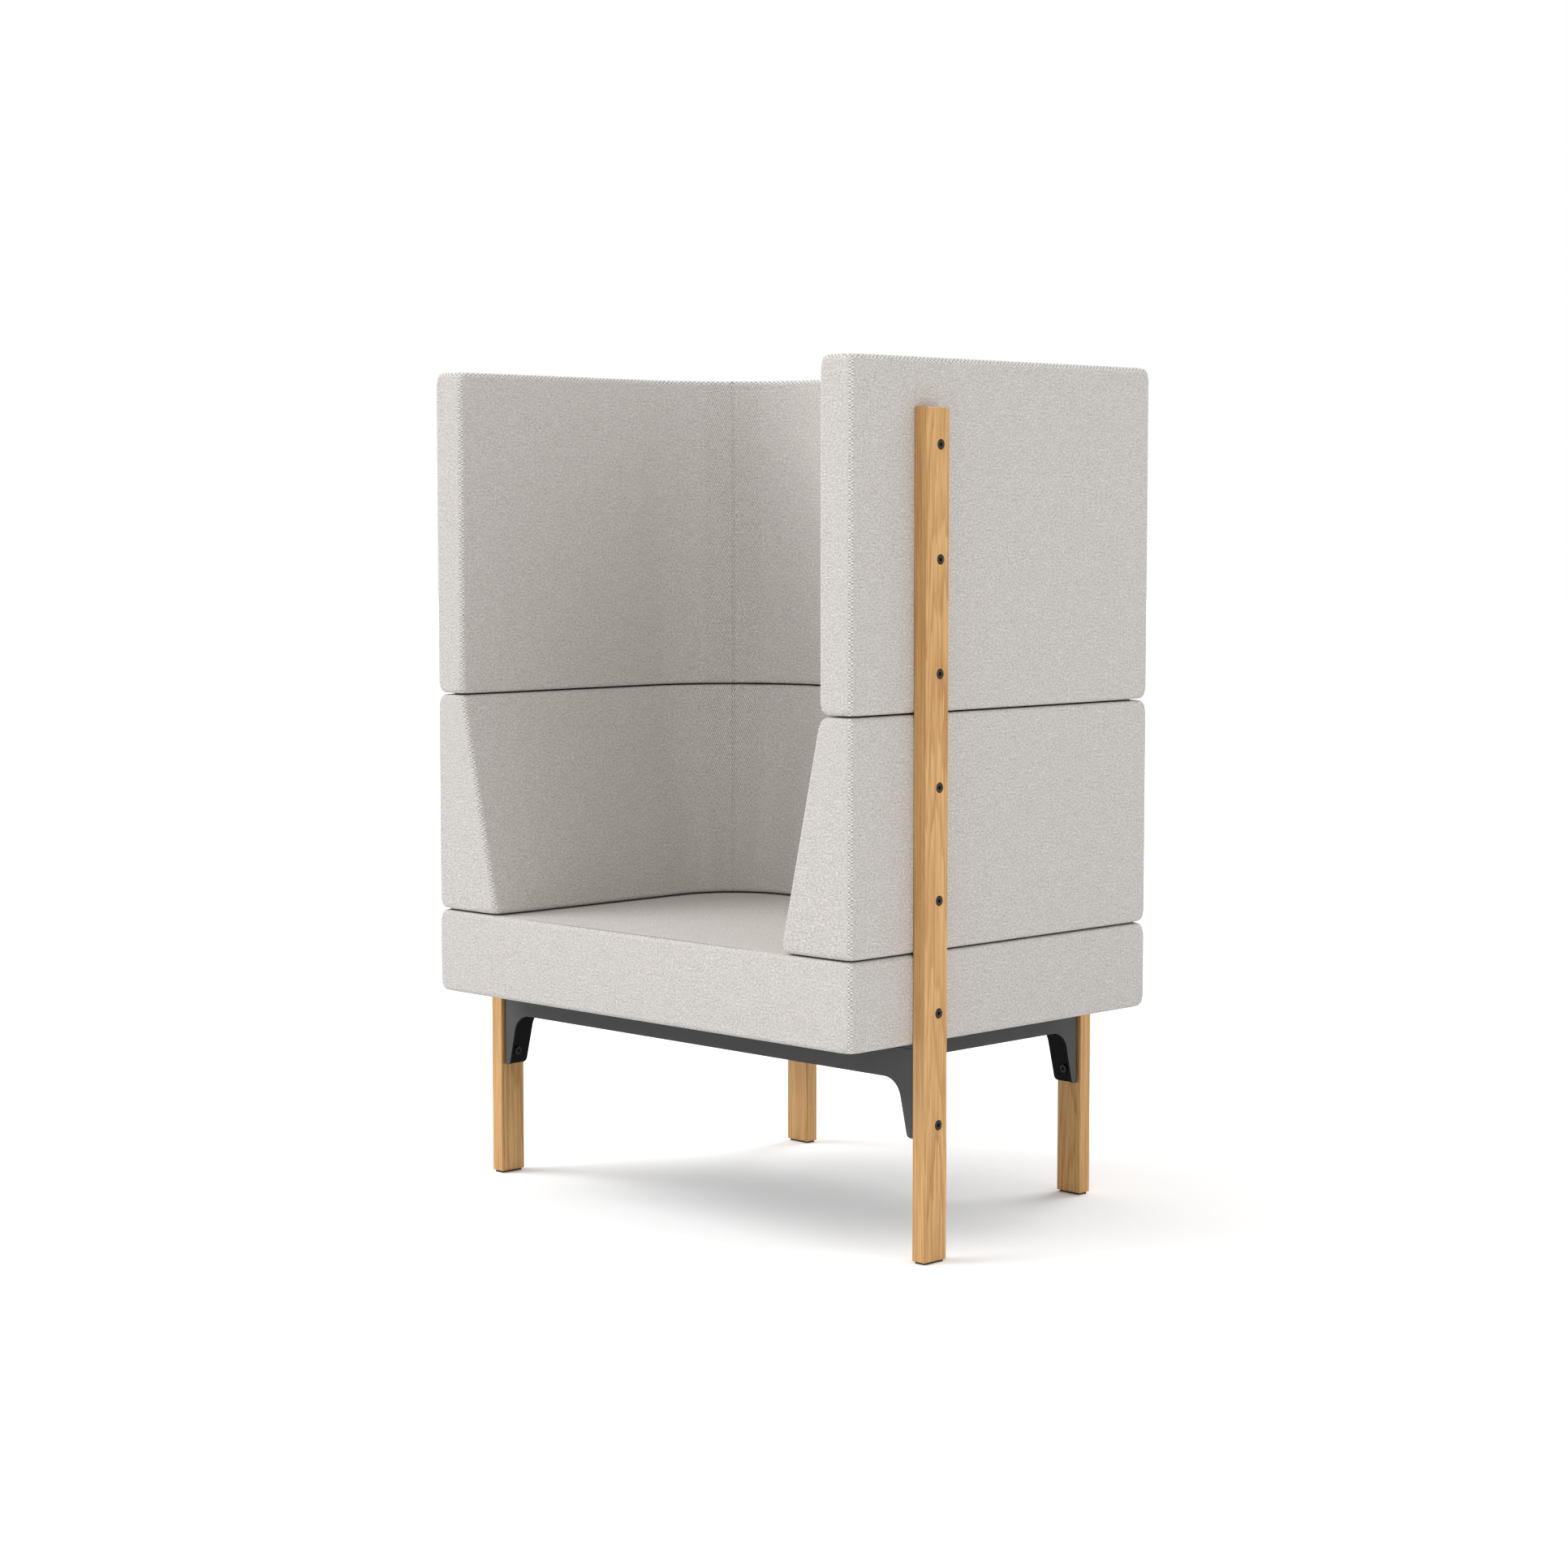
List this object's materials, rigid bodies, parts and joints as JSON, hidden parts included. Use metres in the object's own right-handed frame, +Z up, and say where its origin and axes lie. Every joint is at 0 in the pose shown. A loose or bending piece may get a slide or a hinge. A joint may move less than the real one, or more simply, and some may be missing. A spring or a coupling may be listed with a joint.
{
  "type": "acoustic high back lounge chair",
  "caption": "Upholstered lounge chair with a tall U-shaped acoustic privacy screen, wedge arms, full-height oak corner posts and a folded steel under-frame.",
  "frame": {"origin": "on the floor under the middle of the chair's outline", "axes": "+Z up, -Y towards the open front, +X to the right-hand side as seen from in front"},
  "size_m": [0.9466, 0.6762, 1.28],
  "materials": {
    "upholstery": "woven, light warm grey melange",
    "foam": "cut upholstery foam",
    "plywood": "bare plywood",
    "oak": "pale oak, matt lacquer",
    "frame_steel": "fine-textured charcoal powder coat",
    "black_fastener": "black oxide",
    "zinc": "zinc plated",
    "rubber": "black, matt",
    "glide_plastic": "black, matt",
    "webbing": "black elastic webbing",
    "dust_cloth": "black non-woven cloth"
  },
  "bodies": {
    "root": {"seat_cover": "upholstery", "lower_cover": "upholstery", "upper_cover": "upholstery", "seat_foam": "foam", "lower_foam": "foam", "upper_foam": "foam", "seat_left_board": "plywood", "seat_right_board": "plywood", "seat_front_board": "plywood", "seat_back_board": "plywood", "seat_front_batten": "plywood", "seat_rear_batten": "plywood", "lower_left_board": "plywood", "lower_right_board": "plywood", "lower_back_board": "plywood", "upper_left_board": "plywood", "upper_right_board": "plywood", "upper_back_board": "plywood", "front_left_post": "oak", "front_right_post": "oak", "rear_left_post": "oak", "rear_right_post": "oak", "front_rail": "frame_steel", "left_rail": "frame_steel", "right_rail": "frame_steel", "rear_rail": "frame_steel", "front_left_bolts": "black_fastener", "front_right_bolts": "black_fastener", "rear_left_bolts": "black_fastener", "rear_right_bolts": "black_fastener", "frame_nuts": "black_fastener", "seat_screws": "zinc", "seat_inserts": "zinc", "lower_inserts": "zinc", "upper_inserts": "zinc", "seat_spacers": "rubber", "lower_spacer": "rubber", "upper_spacer": "rubber", "front_left_glide": "glide_plastic", "front_right_glide": "glide_plastic", "rear_left_glide": "glide_plastic", "rear_right_glide": "glide_plastic", "seat_webbing": "webbing", "seat_dust_cover": "dust_cloth"}
  },
  "joints": []
}
